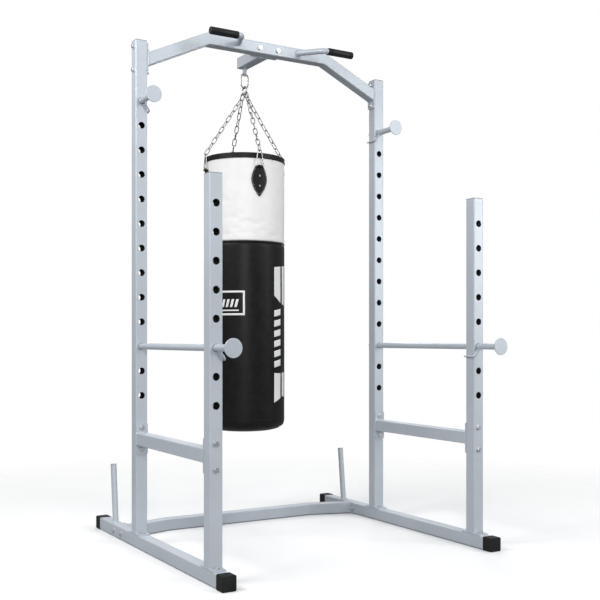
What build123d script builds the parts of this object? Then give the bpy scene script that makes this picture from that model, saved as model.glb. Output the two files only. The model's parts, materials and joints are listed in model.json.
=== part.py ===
from build123d import *
import os
from math import cos, radians, sin, sqrt

# Half rack with pull-up bar, safety bars and a hanging punching bag.
# Millimetres, +Z up, +Y towards the tall uprights. The origin is on the floor,
# at the middle of the whole object's footprint.

os.makedirs("parts", exist_ok=True)

sides = {"left": -1, "right": 1}

# ---- frame tube ----
tube = 50.0
tube_wall = 2.0
tube_corner = 4.0
half = tube / 2

# ---- rack ----
rack_width = 1184.0        # between the upright centre lines, left to right
rack_depth = 696.0         # between the short and tall upright centre lines
tall_height = 2068.0
short_height = 1424.0
front_overhang = 101.0     # short upright's front face to the end cap's front
rear_overhang = 435.0      # tall upright's rear face to the end cap's rear
plate_thick = 5.0
foot_plate_length = 110.0
foot_bolt_gap = 15.0       # upright's face to the foot bolt's centre
flange_length = 125.0

# ---- rubber end caps and plastic plugs ----
cap_wall = 2.75
cap_depth = 45.0
cap_corner = 6.0
plug_plate = 3.0
plug_depth = 14.0
plug_play = 0.2

# ---- adjusting holes ----
hole_radius = 13.75
hole_pitch = 100.0
first_hole_z = 619.0
tall_hole_count = 13
short_hole_count = 8

# ---- safety bars and bar pegs ----
rod_radius = 12.5
disc_radius = 33.5
disc_thick = 5.0
seat_length = 128.0        # upright's front face to the disc
rod_tail = 20.0            # rod beyond the tall upright's rear face
safety_z = first_hole_z + 2 * hole_pitch
peg_z = first_hole_z + 12 * hole_pitch
lock_radius = 4.0
lock_ahead = 10.0          # lock rod in front of the upright's face
lock_inward = 31.0
lock_drop = 41.0
lock_bend = 12.0

# ---- braces and cross member ----
brace_z = 443.0
brace_bolt_reach = 45.0
cross_end_y_offset = 195.0     # behind the tall uprights
cross_mid_y_offset = 255.0
cross_bend_x = 370.0
cross_bolt_reach = 42.0
bend_radius = 40.0

# ---- pull-up bar ----
bar_mid_z = 2122.0
bar_end_z = 1995.0
bar_bend_x = 292.0
bar_bolt_reach = 48.0

# ---- pull-up handles ----
handle_radius = 12.5
handle_wall = 2.0
handle_root_x = 150.0
handle_root_z = 2126.0
handle_corner_x = 202.0
handle_z = 2110.0
handle_ahead = 158.0       # grip's centre line in front of the bar's centre line
handle_bend = 25.0
grip_radius = 15.5
grip_inner_x = 220.0
grip_outer_x = 348.0
grip_end_wall = 4.0

# ---- plate storage pegs ----
storage_radius = 12.5
storage_wall = 2.0
storage_y_offset = 280.0
storage_length = 252.0
storage_lean = 6.5         # degrees, towards the rear
storage_weld = 4.5         # how far up the tube the weld around its foot reaches
storage_root = 10.0        # length drawn below the rail's top, then cut off level

# ---- fasteners, M10 ----
bolt_radius = 5.0
bolt_hole_radius = 5.5
nut_hole_radius = 5.1
across_flats = 17.0
head_height = 6.4
nut_height = 8.0
washer_radius = 10.0
washer_thick = 2.0
thread_end = 3.0

# ---- bag hanger ----
hanger_reach = 207.0       # bag axis behind the pull-up bar's centre line
arm_end_reach = 235.0
hanger_plate_width = 130.0
hanger_bolt_x = 45.0
hanger_z = 2119.0
lug_thick = 8.0
lug_width = 25.0
lug_bottom_z = 2056.0
lug_hole_z = 2068.0
lug_hole_radius = 6.0

# ---- carabiner and chain ring ----
carabiner_wire = 3.5
carabiner_bow = 17.5       # centre-line radius of its round ends
carabiner_straight = 30.0
carabiner_seat = 0.76      # lowest the wire may ride above the lug hole's bottom
gate_radius = 3.2
gate_reach = 13.0
gate_gap = 0.5
tang_thick = 2.6
tang_play = 0.3
gate_pin_radius = 1.2
gate_pin_play = 0.05
ring_wire = 3.0
ring_radius = 20.0
ring_play = 0.4

# ---- chains ----
link_wire = 2.0
link_bow = 8.0             # centre-line radius of a link's round ends
link_straight = 20.0
links_per_chain = 11
chain_play = 0.4

# ---- punching bag ----
bag_radius = 183.0
bag_bottom_z = 434.0
bag_top_z = 1668.0
band_bottom_z = 1280.0
skin_thick = 3.0
bag_edge_radius = 48.0
lid_thick = 5.0
lid_skirt = 20.0
lid_skin = 1.5
lid_play = 0.3
bag_turn = 6.6             # degrees, tabs turned clockwise seen from above
tab_width = 74.0
tab_height = 134.0
tab_thick = 3.0
tab_top_z = 1612.0
tab_loop_radius = 5.6
tab_loop_reach = 11.4      # half the width of the loop round the D-ring
tab_loop_play = 0.1
rivet_radius = 4.4
rivet_stand = 2.0
rivet_depths = (0.31, 0.64)    # below the tab's top, as shares of its height

# ---- D-rings ----
d_wire = 2.5
d_height = 72.0
d_foot = 18.0              # half width at the tab
d_head = 8.0               # half width at the chain
d_corner = 6.0
d_lean = 2.0               # degrees, towards the bag's axis
d_stand = 7.0              # foot bar's centre line off the bag

# ---- derived places ----
front_reach = rack_depth + half + seat_length + disc_thick
rear_reach = half + rear_overhang
tall_y = (front_reach - rear_reach) / 2
short_y = tall_y - rack_depth
rail_front_y = short_y - half - front_overhang
rail_rear_y = tall_y + rear_reach
rail_z = cap_wall + half
rail_top_z = rail_z + half
upright_foot_z = rail_top_z + plate_thick
upright_x = rack_width / 2
inner_x = upright_x - half
outer_x = upright_x + half
bag_y = tall_y + hanger_reach
up = Vector(0, 0, 1)


def save(name, shapes):
    """Write one sub-part, a single solid or a group of separate solids."""
    if isinstance(shapes, list):
        shapes = Compound(shapes)
    export_step(shapes, "parts/" + name + ".step")


# ---- plain building shapes ----

def block(x, y, z):
    """Box between the pairs of limits x, y and z."""
    sizes = [abs(pair[1] - pair[0]) for pair in (x, y, z)]
    middle = [(pair[0] + pair[1]) / 2 for pair in (x, y, z)]
    return Pos(*middle) * Box(*sizes)


def rod(start, end, radius):
    """Round bar from start to end."""
    start = Vector(*start)
    run = Vector(*end) - start
    bar = Cylinder(radius, run.length, align=(Align.CENTER, Align.CENTER, Align.MIN))
    return Plane(origin=start, z_dir=run) * bar


def square_tube(length):
    """Hollow frame tube that stands on the XY plane."""
    inner = tube - 2 * tube_wall
    section = RectangleRounded(tube, tube, tube_corner)
    section -= RectangleRounded(inner, inner, tube_corner - tube_wall)
    return extrude(section, amount=length)


def square_tube_y(x, z, y_from, y_to):
    """Hollow frame tube along Y."""
    return Pos(x, y_from, z) * Rot(-90, 0, 0) * square_tube(y_to - y_from)


def bent_square_tube(points):
    """Hollow frame tube bent along points, with one side kept flat."""
    path = FilletPolyline(*points, radius=bend_radius)
    tangent = path % 0
    flat_side = up.cross(tangent)
    if flat_side.length < abs(tangent.Y) + 0.5:
        flat_side = up
    start = Plane(origin=path @ 0, x_dir=flat_side, z_dir=tangent)
    inner = tube - 2 * tube_wall
    skin = sweep(start * RectangleRounded(tube, tube, tube_corner), path=path)
    core = sweep(start * RectangleRounded(inner, inner, tube_corner - tube_wall), path=path)
    return skin - core


def bent_rod(points, radius, bend):
    """Round bar bent along points."""
    path = FilletPolyline(*points, radius=bend)
    return sweep(Plane(origin=path @ 0, z_dir=path % 0) * Circle(radius), path=path)


# ---- fasteners ----

fasteners = {
    "foot_bolts": [],
    "brace_bolts": [],
    "pull_up_bar_bolts": [],
    "cross_member_bolts": [],
    "hanger_bolts": [],
    "lock_nuts": [],
    "foot_weld_nuts": [],
    "flat_washers": [],
}


def hexagon(height):
    return extrude(RegularPolygon(across_flats / 2, 6, major_radius=False), amount=height)


def hex_bolt(seat, direction, length):
    """Bolt whose head stands on seat and whose shank runs along direction."""
    dome = Cylinder(across_flats / 2 + 0.9, head_height, align=(Align.CENTER, Align.CENTER, Align.MIN))
    dome = chamfer(dome.edges().sort_by(Axis.Z)[-1], 1.2)
    head = Rot(180, 0, 0) * (hexagon(head_height) & dome)
    shank = Cylinder(bolt_radius, length, align=(Align.CENTER, Align.CENTER, Align.MIN))
    shank = chamfer(shank.edges().sort_by(Axis.Z)[-1], 0.8)
    return Plane(origin=seat, z_dir=direction) * (head + shank)


def hex_nut(seat, direction):
    """Nut that lies on seat and grows along direction."""
    hole = Cylinder(nut_hole_radius, 3 * nut_height)
    return Plane(origin=seat, z_dir=direction) * (hexagon(nut_height) - hole)


def flat_washer(seat, direction):
    """Washer that lies on seat and grows along direction."""
    ring = extrude(Circle(washer_radius) - Circle(nut_hole_radius), amount=washer_thick)
    return Plane(origin=seat, z_dir=direction) * ring


def fasten(name, face, direction, thickness):
    """Bolt, two washers and nut through a stack that starts at face."""
    face = Vector(*face)
    direction = Vector(*direction)
    far_face = face + direction * thickness
    bolt_length = 2 * washer_thick + thickness + nut_height + thread_end
    fasteners[name].append(hex_bolt(face - direction * washer_thick, direction, bolt_length))
    fasteners["flat_washers"].append(flat_washer(face, direction * -1))
    fasteners["flat_washers"].append(flat_washer(far_face, direction))
    fasteners["lock_nuts"].append(hex_nut(far_face + direction * washer_thick, direction))


# ---- base ----

def base_rail(x):
    """Floor rail with holes for the upright feet and the cross member."""
    rail = square_tube_y(x, rail_z, rail_front_y + cap_wall, rail_rear_y - cap_wall)
    for y in (short_y, tall_y):
        for reach in (-1, 1):
            spot = y + reach * (half + foot_bolt_gap)
            rail -= rod((x, spot, rail_z), (x, spot, rail_top_z + 1), bolt_hole_radius)
    for reach in (-1, 1):
        spot = tall_y + cross_end_y_offset + reach * cross_bolt_reach
        rail -= rod((x - tube, spot, rail_z), (x + tube, spot, rail_z), bolt_hole_radius)
    return rail


def end_cap(x, y, towards):
    """Rubber cup over a rail's end; towards is the way its mouth faces."""
    width = tube + 2 * cap_wall
    cup = extrude(RectangleRounded(width, width, cap_corner), amount=cap_depth)
    cup = fillet(cup.faces().sort_by(Axis.Z)[0].edges(), 2.0)
    mouth = extrude(RectangleRounded(tube, tube, tube_corner), amount=cap_depth)
    cup -= Pos(0, 0, cap_wall) * mouth
    return Pos(x, y, rail_z) * Rot(-90 * towards, 0, 0) * cup


def square_plug():
    """Plastic plug for a square tube, its plate from the XY plane upwards."""
    plate = extrude(RectangleRounded(tube, tube, tube_corner), amount=plug_plate)
    plate = fillet(plate.faces().sort_by(Axis.Z)[-1].edges(), 1.2)
    body = tube - 2 * tube_wall - 2 * plug_play
    shank = RectangleRounded(body, body, 1.5) - RectangleRounded(body - 5, body - 5, 1.0)
    return plate + extrude(shank, amount=-plug_depth)


def round_plug(radius, wall):
    """Plastic plug for a round tube, its cap from the XY plane upwards."""
    cap = Cylinder(radius, plug_plate, align=(Align.CENTER, Align.CENTER, Align.MIN))
    cap = fillet(cap.edges().sort_by(Axis.Z)[-1], 1.5)
    shank = Circle(radius - wall - plug_play) - Circle(radius - wall - plug_play - 2)
    return cap + extrude(shank, amount=-plug_depth)


def storage_frame(x):
    """Plane at the foot of a storage peg, its Z along the peg."""
    lean = radians(storage_lean)
    foot = (x, tall_y + storage_y_offset, rail_top_z)
    return Plane(origin=foot, x_dir=(1, 0, 0), z_dir=(0, sin(lean), cos(lean)))


def storage_peg(x):
    """Tube for weight plates and the weld around its foot, cut level on the rail."""
    inside = Circle(storage_radius - storage_wall)
    tube_length = storage_length - plug_plate + storage_root
    weld_depth = storage_weld + storage_root
    peg = extrude(Circle(storage_radius) - inside, amount=tube_length)
    upwards = (Align.CENTER, Align.CENTER, Align.MIN)
    weld = Cone(storage_radius + weld_depth, storage_radius, weld_depth, align=upwards)
    weld -= extrude(inside, amount=weld_depth)
    peg = storage_frame(x) * Pos(0, 0, -storage_root) * (peg + weld)
    floor = rail_top_z - 30
    return peg - block((x - tube, x + tube), (bag_y - 200, bag_y + 400), (floor, rail_top_z))


# ---- uprights and braces ----


def upright(x, y, height, hole_count):
    """Square tube welded to its foot plate, with its row of adjusting holes."""
    column = Pos(x, y, upright_foot_z) * square_tube(height - plug_plate - upright_foot_z)
    plate = extrude(RectangleRounded(tube, foot_plate_length, 5), amount=plate_thick)
    column += Pos(x, y, rail_top_z) * plate
    for reach in (-1, 1):
        spot = y + reach * (half + foot_bolt_gap)
        column -= rod((x, spot, rail_z), (x, spot, upright_foot_z + 1), bolt_hole_radius)
    for step in range(hole_count):
        z = first_hole_z + step * hole_pitch
        column -= rod((x, y - tube, z), (x, y + tube, z), hole_radius)
    for reach in (-1, 1):
        z = brace_z + reach * brace_bolt_reach
        column -= rod((x, y - tube, z), (x, y + tube, z), bolt_hole_radius)
    return column


def tall_upright(x):
    """Tall upright, also drilled across for the pull-up bar's flange."""
    column = upright(x, tall_y, tall_height, tall_hole_count)
    for reach in (-1, 1):
        z = bar_end_z + reach * bar_bolt_reach
        column -= rod((x - tube, tall_y, z), (x + tube, tall_y, z), bolt_hole_radius)
    return column


def side_brace(x):
    """Tube between a short and a tall upright, with a flange at each end."""
    front = short_y + half
    rear = tall_y - half
    brace = square_tube_y(x, brace_z, front + plate_thick, rear - plate_thick)
    flange = extrude(RectangleRounded(tube, flange_length, 5), amount=plate_thick)
    for y in (front, rear - plate_thick):
        brace += Pos(x, y, brace_z) * Rot(-90, 0, 0) * flange
    for reach in (-1, 1):
        z = brace_z + reach * brace_bolt_reach
        brace -= rod((x, front - 1, z), (x, rear + 1, z), bolt_hole_radius)
    return brace


def end_flanges(y, z, along_y, bolt_reach):
    """Pair of flanges against the inner faces of the left and right sides."""
    long_y = flange_length if along_y else tube
    long_z = tube if along_y else flange_length
    plates = []
    for side in (-1, 1):
        plate = Pos(side * (inner_x - plate_thick / 2), y, z) * Box(plate_thick, long_y, long_z)
        plate = fillet(plate.edges().filter_by(Axis.X), 5)
        for reach in (-1, 1):
            spot = (y + reach * bolt_reach, z) if along_y else (y, z + reach * bolt_reach)
            plate -= rod((-rack_width, *spot), (rack_width, *spot), bolt_hole_radius)
        plates.append(plate)
    return plates


def bent_member(points, flanges):
    """Bent square tube welded between two end flanges."""
    reach = inner_x - plate_thick
    member = bent_square_tube(points)
    member &= block((-reach, reach), (-2000, 2000), (-100, 3000))
    for flange in flanges:
        member += flange
    return member


def beyond_end(bend_x, bend_level, end_level):
    """Place of the tube's centre line a little past its flange."""
    slope = (end_level - bend_level) / (inner_x - plate_thick - bend_x)
    far_x = inner_x + 20
    return far_x, bend_level + slope * (far_x - bend_x)


def rear_cross_member():
    mid_y = tall_y + cross_mid_y_offset
    end_y = tall_y + cross_end_y_offset
    far_x, far_y = beyond_end(cross_bend_x, mid_y, end_y)
    points = [(-far_x, far_y, rail_z), (-cross_bend_x, mid_y, rail_z)]
    points += [(cross_bend_x, mid_y, rail_z), (far_x, far_y, rail_z)]
    return bent_member(points, end_flanges(end_y, rail_z, True, cross_bolt_reach))


def pull_up_bar():
    far_x, far_z = beyond_end(bar_bend_x, bar_mid_z, bar_end_z)
    points = [(-far_x, tall_y, far_z), (-bar_bend_x, tall_y, bar_mid_z)]
    points += [(bar_bend_x, tall_y, bar_mid_z), (far_x, tall_y, far_z)]
    bar = bent_member(points, end_flanges(tall_y, bar_end_z, False, bar_bolt_reach))
    for x in (-hanger_bolt_x, hanger_bolt_x):
        bar -= rod((x, tall_y - tube, hanger_z), (x, tall_y + tube, hanger_z), bolt_hole_radius)
    return bar


# ---- pull-up handles ----

def handle_points(side):
    """Centre line of a handle, from inside the bar to the grip's end."""
    root = Vector(side * handle_root_x, tall_y - half, handle_root_z)
    corner = Vector(side * handle_corner_x, tall_y - handle_ahead, handle_z)
    inside = root + (root - corner).normalized() * 15
    end = Vector(side * (grip_outer_x - grip_end_wall), tall_y - handle_ahead, handle_z)
    return [inside, corner, end]


def pull_up_handle(side):
    """Bent round tube, cut flat where it is welded to the bar's front face."""
    points = handle_points(side)
    tube_solid = bent_rod(points, handle_radius, handle_bend)
    tube_solid -= bent_rod(points, handle_radius - handle_wall, handle_bend)
    return tube_solid - block((-rack_width, rack_width), (tall_y - half, tall_y + half), (2000, 2200))


def handle_grip(side):
    """Rubber sleeve with a closed outer end."""
    y = tall_y - handle_ahead
    sleeve = rod((side * grip_inner_x, y, handle_z), (side * grip_outer_x, y, handle_z), grip_radius)
    sleeve = fillet(sleeve.edges().filter_by(GeomType.CIRCLE), 2.5)
    bore_end = side * (grip_outer_x - grip_end_wall)
    return sleeve - rod((side * (grip_inner_x - 1), y, handle_z), (bore_end, y, handle_z), handle_radius)


# ---- safety bars and bar pegs ----

def disc_rod(x, z, front_face_y, rear_face_y):
    """Rod with a welded disc that stops a barbell from rolling off."""
    disc_y = front_face_y - seat_length
    bar = rod((x, disc_y, z), (x, rear_face_y + rod_tail, z), rod_radius)
    bar = chamfer(bar.edges().filter_by(GeomType.CIRCLE).sort_by(Axis.Y)[-1], 1.5)
    disc = rod((x, disc_y - disc_thick, z), (x, disc_y, z), disc_radius)
    disc = fillet(disc.edges().filter_by(GeomType.CIRCLE), 1.5)
    return bar + disc


def lock_rod(x, side, z, front_face_y):
    """Thin bent rod that lies along the upright's inner face."""
    y = front_face_y - lock_ahead
    low_x = x - side * lock_inward
    low_z = z - lock_drop
    points = [(x, y, z), (low_x, y, low_z), (low_x, front_face_y + tube, low_z)]
    hook = bent_rod([Vector(*point) for point in points], lock_radius, lock_bend)
    return hook - rod((x, y - tube, z), (x, y + tube, z), rod_radius)


# ---- bag hanger ----

def hanger_arm():
    """Bracket plate, arm and drilled lug, welded together."""
    plate_y = tall_y + half
    end_y = tall_y + arm_end_reach - plug_plate
    arm = square_tube_y(0, hanger_z, plate_y + plate_thick, end_y)
    plate = Pos(0, plate_y + plate_thick / 2, hanger_z) * Box(hanger_plate_width, plate_thick, tube)
    arm += fillet(plate.edges().filter_by(Axis.Y), 4)
    for x in (-hanger_bolt_x, hanger_bolt_x):
        arm -= rod((x, plate_y - 1, hanger_z), (x, plate_y + tube, hanger_z), bolt_hole_radius)
    lug_x = (-lug_thick / 2, lug_thick / 2)
    lug_y = (bag_y - lug_width / 2, bag_y + lug_width / 2)
    lug = block(lug_x, lug_y, (lug_bottom_z, hanger_z - half))
    lug = fillet(lug.edges().filter_by(Axis.X).group_by(Axis.Z)[0], lug_width / 2 - 0.5)
    lug -= rod((-tube, bag_y, lug_hole_z), (tube, bag_y, lug_hole_z), lug_hole_radius)
    return arm + lug


# The carabiner hangs in the XZ plane; its wire rests on the bottom of the lug's hole.
carabiner_top_z = lug_hole_z - lug_hole_radius + carabiner_wire + carabiner_seat
carabiner_z = carabiner_top_z - carabiner_bow - carabiner_straight / 2
carabiner_bottom_z = carabiner_z - carabiner_straight / 2 - carabiner_bow
gate_pivot_z = carabiner_z - gate_reach + 3


def carabiner_body():
    """Oval hook, open on its right, with a tang for the gate."""
    bow = carabiner_bow
    low_z = carabiner_z - carabiner_straight / 2
    high_z = carabiner_z + carabiner_straight / 2
    outline = Polyline((bow, bag_y, carabiner_z - gate_reach), (bow, bag_y, low_z))
    outline += ThreePointArc((bow, bag_y, low_z), (0, bag_y, low_z - bow), (-bow, bag_y, low_z))
    outline += Line((-bow, bag_y, low_z), (-bow, bag_y, high_z))
    outline += ThreePointArc((-bow, bag_y, high_z), (0, bag_y, high_z + bow), (bow, bag_y, high_z))
    outline += Line((bow, bag_y, high_z), (bow, bag_y, carabiner_z + gate_reach))
    start = Plane(origin=(bow, bag_y, carabiner_z - gate_reach), z_dir=(0, 0, -1))
    wire = sweep(start * Circle(carabiner_wire), path=outline)
    tang_y = (bag_y - tang_thick / 2, bag_y + tang_thick / 2)
    tang = block((bow - 2.6, bow + 2.6), tang_y, (carabiner_z - gate_reach - 1, gate_pivot_z))
    tang += rod((bow, tang_y[0], gate_pivot_z), (bow, tang_y[1], gate_pivot_z), 2.6)
    bore = gate_pin_radius
    return wire + tang - rod((bow, bag_y - 9, gate_pivot_z), (bow, bag_y + 9, gate_pivot_z), bore)


def carabiner_pin():
    """Rivet through the tang that the gate turns on."""
    reach = gate_radius + 0.2
    start = (carabiner_bow, bag_y - reach, gate_pivot_z)
    end = (carabiner_bow, bag_y + reach, gate_pivot_z)
    return rod(start, end, gate_pin_radius)


def carabiner_gate():
    """Sprung gate, forked over the tang."""
    bow = carabiner_bow
    foot_z = carabiner_z - gate_reach + gate_gap
    top_z = carabiner_z + gate_reach - gate_gap
    gate = rod((bow, bag_y, foot_z), (bow, bag_y, top_z), gate_radius)
    slot = tang_thick / 2 + tang_play
    gate -= block((bow - 9, bow + 9), (bag_y - slot, bag_y + slot), (foot_z - 1, gate_pivot_z + 3.6))
    heel = rod((bow, bag_y - 9, gate_pivot_z), (bow, bag_y + 9, gate_pivot_z), gate_radius - 0.2)
    lower = block((bow - 9, bow + 9), (bag_y - 9, bag_y + 9), (foot_z - 1, gate_pivot_z))
    gate -= lower - heel
    bore = gate_pin_radius + gate_pin_play
    return gate - rod((bow, bag_y - 9, gate_pivot_z), (bow, bag_y + 9, gate_pivot_z), bore)


# The chain ring hangs in the YZ plane on the carabiner's lower bow.
ring_top_z = carabiner_bottom_z + carabiner_wire + ring_play + ring_wire
ring_z = ring_top_z - ring_radius


def chain_ring():
    return Pos(0, bag_y, ring_z) * Rot(0, 90, 0) * Torus(ring_radius, ring_wire)


# ---- chains, D-rings and tabs ----

# Each chain: angle of its tab about the bag, where it hooks on the chain ring as an angle
# from the ring's lowest point towards the rear, and its quarter turns from end to end.
chains = {
    "front_chain": (-90, -54, 9),
    "right_chain": (0, -24, 10),
    "left_chain": (180, 24, 10),
    "rear_chain": (90, 54, 9),
}


def bag_direction(angle):
    """Unit vector from the bag's axis towards a tab."""
    turned = radians(angle - bag_turn)
    return Vector(cos(turned), sin(turned), 0)


def d_ring_frame(angle):
    """Plane of a D-ring: origin at its foot bar, Y up the ring, Z away from the bag."""
    outward = bag_direction(angle)
    lean = radians(d_lean)
    rise = up * cos(lean) - outward * sin(lean)
    foot = Vector(0, bag_y, tab_top_z) + outward * (bag_radius + d_stand)
    return Plane(origin=foot, x_dir=rise.cross(outward), z_dir=outward * cos(lean) + up * sin(lean))


def d_ring(angle):
    """Closed wire ring, wide at the tab and narrow at the chain."""
    corners = [(-d_foot, 0), (d_foot, 0), (d_head, d_height), (-d_head, d_height)]
    path = Wire(FilletPolyline(*corners, radius=d_corner, close=True).edges())
    start = Plane(origin=path @ 0, z_dir=path % 0)
    return d_ring_frame(angle) * sweep(start * Circle(d_wire), path=path)


def chain_link():
    """One stadium-shaped link along Z, lying in the XZ plane."""
    end = link_straight / 2
    bow = Rot(90, 0, 0) * Torus(link_bow, link_wire)
    upper = Pos(0, 0, end) * (bow & block((-20, 20), (-20, 20), (0, 20)))
    lower = Pos(0, 0, -end) * (bow & block((-20, 20), (-20, 20), (-20, 0)))
    left = rod((-link_bow, 0, -end), (-link_bow, 0, end), link_wire)
    right = rod((link_bow, 0, -end), (link_bow, 0, end), link_wire)
    return upper + lower + left + right


def chain(angle, hook, quarter_turns):
    """Row of links from the chain ring to a D-ring, each about a quarter turn from the last."""
    swing = radians(hook)
    hook_point = Vector(0, bag_y + ring_radius * sin(swing), ring_z - ring_radius * cos(swing))
    ring_tangent = Vector(0, cos(swing), sin(swing))
    head = (d_ring_frame(angle) * Pos(0, d_height, 0)).position
    run = (head - hook_point).normalized()
    slant = sqrt(1 - ring_tangent.dot(run) ** 2)
    bow_reach = (ring_wire + link_wire + chain_play) / slant
    half_link = link_straight / 2 + link_bow
    last_reach = (head - hook_point).length + d_wire + link_wire + chain_play - half_link
    first_reach = half_link - bow_reach
    pitch = (last_reach - first_reach) / (links_per_chain - 1)
    facing = ring_tangent.cross(run).normalized()
    turn = 90 * quarter_turns / (links_per_chain - 1)
    link = chain_link()
    links = []
    for number in range(links_per_chain):
        middle = hook_point + run * (first_reach + number * pitch)
        seat = Plane(origin=middle, x_dir=facing, z_dir=run)
        links.append(seat * Rot(0, 0, turn * number) * link)
    return links


def ring_of_skin(inner_radius, outer_radius, low_z, high_z):
    """Upright hollow cylinder about the bag's axis."""
    section = Circle(outer_radius) - Circle(inner_radius)
    return Pos(0, bag_y, low_z) * extrude(section, amount=high_z - low_z)


def tab_outline():
    """Almond-shaped leather patch with a flat top, in its own XY plane, top edge at y 0."""
    wide = tab_width / 2
    top = tab_width * 0.26
    shoulder = -tab_height * 0.42
    edge = Spline((top, 0), (wide, shoulder), (0, -tab_height), tangents=[(0.7, -1), (-1, -1.1)])
    outline = edge + mirror(edge, Plane.YZ) + Line((-top, 0), (top, 0))
    return make_face(outline)


def leather_tab(angle):
    """Patch wrapped on the bag, its top end rolled round the D-ring's foot bar."""
    outward = bag_direction(angle)
    across = up.cross(outward)
    origin = Vector(0, bag_y, tab_top_z)
    patch = Plane(origin=origin, x_dir=across, z_dir=outward) * extrude(tab_outline(), amount=2 * bag_radius)
    inner = bag_radius + lid_play
    skin = ring_of_skin(inner, inner + tab_thick, tab_top_z - 2 * tab_height, tab_top_z + 10)
    tab = patch & skin
    bar = origin + outward * (bag_radius + d_stand)
    tab += rod(bar - across * tab_loop_reach, bar + across * tab_loop_reach, tab_loop_radius)
    return tab - rod(bar - across * tab_width, bar + across * tab_width, d_wire + tab_loop_play)


def tab_rivets(angle):
    """Two domed rivets, one above the other on a tab."""
    outward = bag_direction(angle)
    heads = []
    for depth in rivet_depths:
        seat = Vector(0, bag_y, tab_top_z - depth * tab_height)
        start = seat + outward * (bag_radius + lid_play + tab_thick)
        head = rod(start, start + outward * rivet_stand, rivet_radius)
        heads.append(fillet(head.edges().filter_by(GeomType.CIRCLE)[-1], 1.2))
    return heads


# ---- punching bag ----

def bag_solid(radius, low_z, edge_radius):
    """Closed upright cylinder with a rounded lower edge, up to the bag's top."""
    height = bag_top_z - low_z
    body = Cylinder(radius, height, align=(Align.CENTER, Align.CENTER, Align.MIN))
    body = fillet(body.edges().filter_by(GeomType.CIRCLE).sort_by(Axis.Z)[0], edge_radius)
    return Pos(0, bag_y, low_z) * body


def bag_filling():
    return bag_solid(bag_radius - skin_thick, bag_bottom_z + skin_thick, bag_edge_radius - skin_thick)


def bag_lower_cover():
    """Cup-shaped skin round the lower part and the bottom."""
    cover = bag_solid(bag_radius, bag_bottom_z, bag_edge_radius) - bag_filling()
    return cover - block((-400, 400), (bag_y - 400, bag_y + 400), (band_bottom_z, bag_top_z + 1))


def bag_upper_band():
    return ring_of_skin(bag_radius - skin_thick, bag_radius, band_bottom_z, bag_top_z)


def bag_top_cover():
    """Lid with a short skirt stitched round the rim."""
    inner = bag_radius + lid_play
    lid = ring_of_skin(inner, inner + lid_skin, bag_top_z - lid_skirt, bag_top_z)
    plate = Cylinder(inner + lid_skin, lid_thick, align=(Align.CENTER, Align.CENTER, Align.MIN))
    plate = fillet(plate.edges().filter_by(GeomType.CIRCLE).sort_by(Axis.Z)[-1], 3)
    return lid + Pos(0, bag_y, bag_top_z) * plate


# ---- write the sub-parts ----

for name, side in sides.items():
    x = side * upright_x
    save(name + "_base_rail", base_rail(x))
    save(name + "_front_end_cap", end_cap(x, rail_front_y, 1))
    save(name + "_rear_end_cap", end_cap(x, rail_rear_y, -1))
    save(name + "_tall_upright", tall_upright(x))
    save(name + "_short_upright", upright(x, short_y, short_height, short_hole_count))
    save(name + "_tall_plug", Pos(x, tall_y, tall_height - plug_plate) * square_plug())
    save(name + "_short_plug", Pos(x, short_y, short_height - plug_plate) * square_plug())
    save(name + "_side_brace", side_brace(x))
    save(name + "_plate_peg", storage_peg(x))
    peg_top = storage_frame(x) * Pos(0, 0, storage_length - plug_plate)
    peg_plug = peg_top * round_plug(storage_radius, storage_wall)
    save(name + "_plate_peg_plug", peg_plug)
    save(name + "_pull_up_handle", pull_up_handle(side))
    save(name + "_handle_grip", handle_grip(side))
    save(name + "_safety_bar", disc_rod(x, safety_z, short_y - half, tall_y + half))
    save(name + "_safety_lock", lock_rod(x, side, safety_z, short_y - half))
    save(name + "_bar_peg", disc_rod(x, peg_z, tall_y - half, tall_y + half))
    save(name + "_bar_peg_lock", lock_rod(x, side, peg_z, tall_y - half))
    for y in (short_y, tall_y):
        for reach in (-1, 1):
            spot = y + reach * (half + foot_bolt_gap)
            seat = Vector(x, spot, upright_foot_z + washer_thick)
            shank = washer_thick + plate_thick + tube_wall + nut_height + thread_end
            fasteners["foot_bolts"].append(hex_bolt(seat, (0, 0, -1), shank))
            fasteners["flat_washers"].append(flat_washer((x, spot, upright_foot_z), (0, 0, 1)))
            fasteners["foot_weld_nuts"].append(hex_nut((x, spot, rail_top_z - tube_wall), (0, 0, -1)))
    for reach in (-1, 1):
        z = brace_z + reach * brace_bolt_reach
        fasten("brace_bolts", (x, short_y - half, z), (0, 1, 0), tube + plate_thick)
        fasten("brace_bolts", (x, tall_y - half - plate_thick, z), (0, 1, 0), tube + plate_thick)
        z = bar_end_z + reach * bar_bolt_reach
        fasten("pull_up_bar_bolts", (side * outer_x, tall_y, z), (-side, 0, 0), tube + plate_thick)
        y = tall_y + cross_end_y_offset + reach * cross_bolt_reach
        fasten("cross_member_bolts", (side * outer_x, y, rail_z), (-side, 0, 0), tube + plate_thick)
    fasten("hanger_bolts", (side * hanger_bolt_x, tall_y - half, hanger_z), (0, 1, 0), tube + plate_thick)

save("rear_cross_member", rear_cross_member())
save("pull_up_bar", pull_up_bar())
save("bag_hanger_arm", hanger_arm())
arm_end = Plane(origin=(0, tall_y + arm_end_reach - plug_plate, hanger_z), z_dir=(0, 1, 0))
save("hanger_arm_plug", arm_end * square_plug())
for name, pieces in fasteners.items():
    save(name, pieces)

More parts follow.
